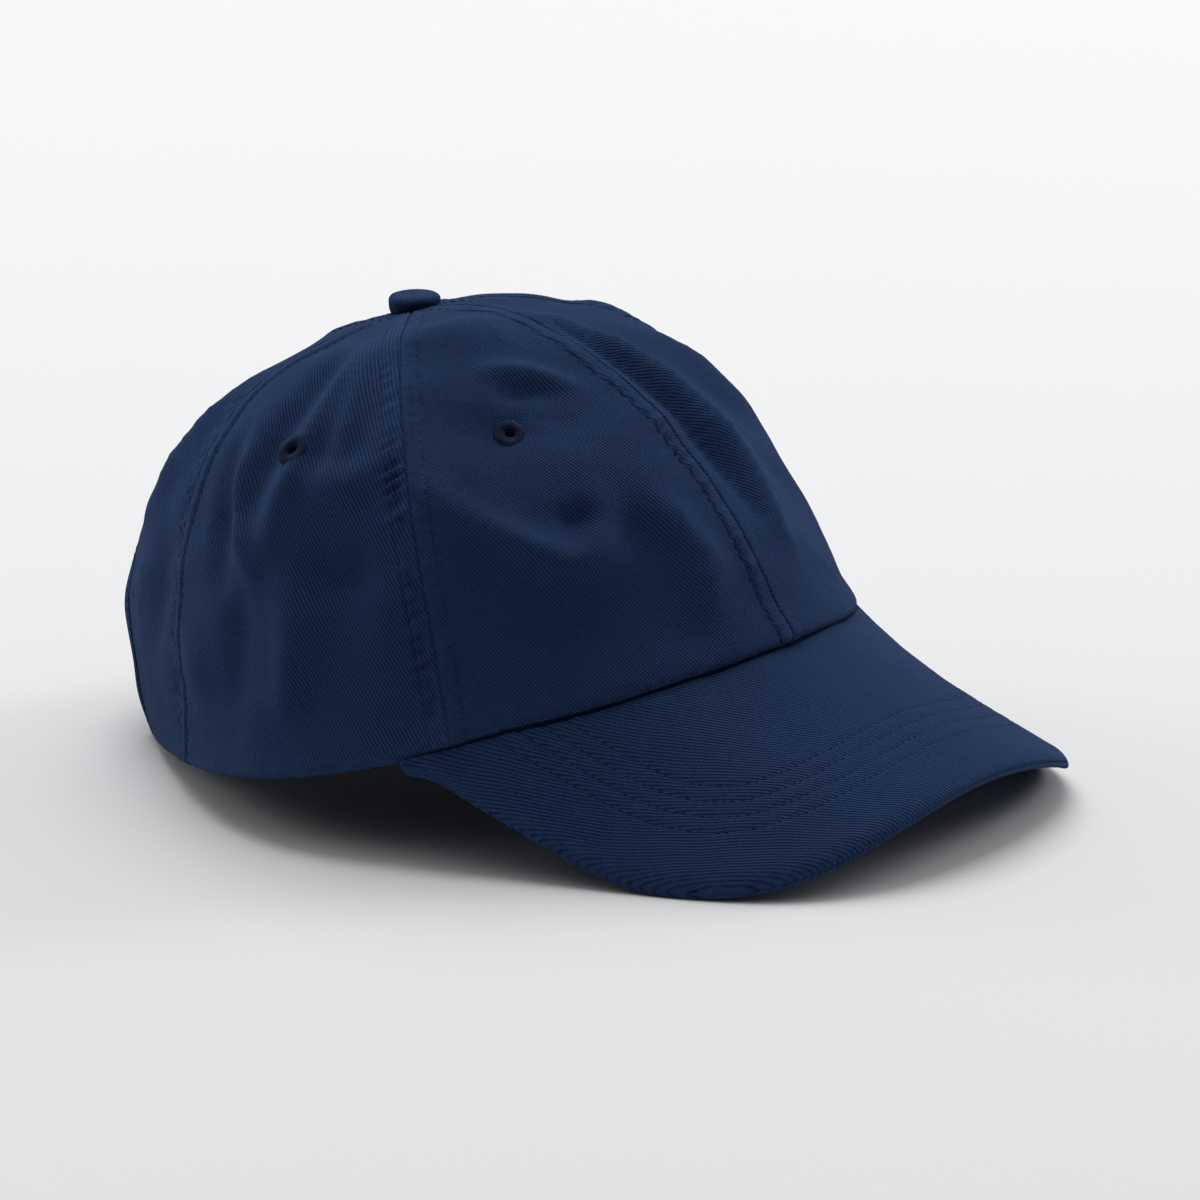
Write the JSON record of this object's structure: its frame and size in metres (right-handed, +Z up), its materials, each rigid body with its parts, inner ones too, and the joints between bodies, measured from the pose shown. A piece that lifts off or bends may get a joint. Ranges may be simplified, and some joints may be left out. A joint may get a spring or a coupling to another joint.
{
  "type": "baseball cap",
  "caption": "Soft unstructured baseball cap with a pre-curved stitched peak, covered top button, sewn eyelets and a rear size strap with a cam clasp.",
  "frame": {"origin": "on the table, under the middle of the bounding box of the cap at rest", "axes": "+Z up, -Y forwards along the peak, +X to the wearer's left; the crown is tilted back 14.2 degrees about X, resting on its rear hem and the corners of the peak"},
  "size_m": [0.1928, 0.2556, 0.1192],
  "materials": {
    "navy_twill": "matt cotton twill",
    "navy_thread": "polished cotton embroidery thread",
    "seam_tape": "matt woven cotton tape",
    "sweatband_cotton": "matt folded cotton",
    "board_plastic": "matt polyethylene sheet",
    "plated_steel": "nickel plated",
    "clasp_brass": "antique brass, softly polished"
  },
  "bodies": {
    "crown": {"front_left_panel": "navy_twill", "side_left_panel": "navy_twill", "rear_left_panel": "navy_twill", "rear_right_panel": "navy_twill", "side_right_panel": "navy_twill", "front_right_panel": "navy_twill", "front_left_eyelet": "navy_thread", "side_left_eyelet": "navy_thread", "rear_left_eyelet": "navy_thread", "rear_right_eyelet": "navy_thread", "side_right_eyelet": "navy_thread", "front_right_eyelet": "navy_thread", "centre_seam_tape": "seam_tape", "front_left_seam_tape": "seam_tape", "rear_left_seam_tape": "seam_tape", "rear_right_seam_tape": "seam_tape", "front_right_seam_tape": "seam_tape", "sweatband": "sweatband_cotton", "rear_opening_binding": "seam_tape", "button_cover": "navy_twill", "button_core": "plated_steel", "button_washer": "plated_steel", "clasp_frame": "clasp_brass", "clasp_pin": "plated_steel", "clasp_tab": "navy_twill"},
    "peak": {"peak_top_cover": "navy_twill", "peak_board": "board_plastic", "peak_under_cover": "navy_twill"},
    "strap": {"size_strap": "navy_twill"},
    "clasp_lever": {"clasp_lever": "clasp_brass"}
  },
  "joints": [
    {"name": "peak_flex", "type": "hinge", "parent": "crown", "child": "peak", "pos_m": [0, -0.01285, 0.02616], "axis": [-1, 0, 0], "range_deg": [-3, 12], "stiffness_Nm_per_rad": 0.5},
    {"name": "strap_adjust", "type": "hinge", "parent": "crown", "child": "strap", "pos_m": [0, 0.06267, 0.02785], "axis": [0, -0.2453, -0.9694], "range_deg": [-8, 5]},
    {"name": "clasp_lever_hinge", "type": "hinge", "parent": "crown", "child": "clasp_lever", "pos_m": [0.0114, 0.12267, 0.01267], "axis": [0, 0.2453, 0.9694], "range_deg": [0, 110]}
  ]
}
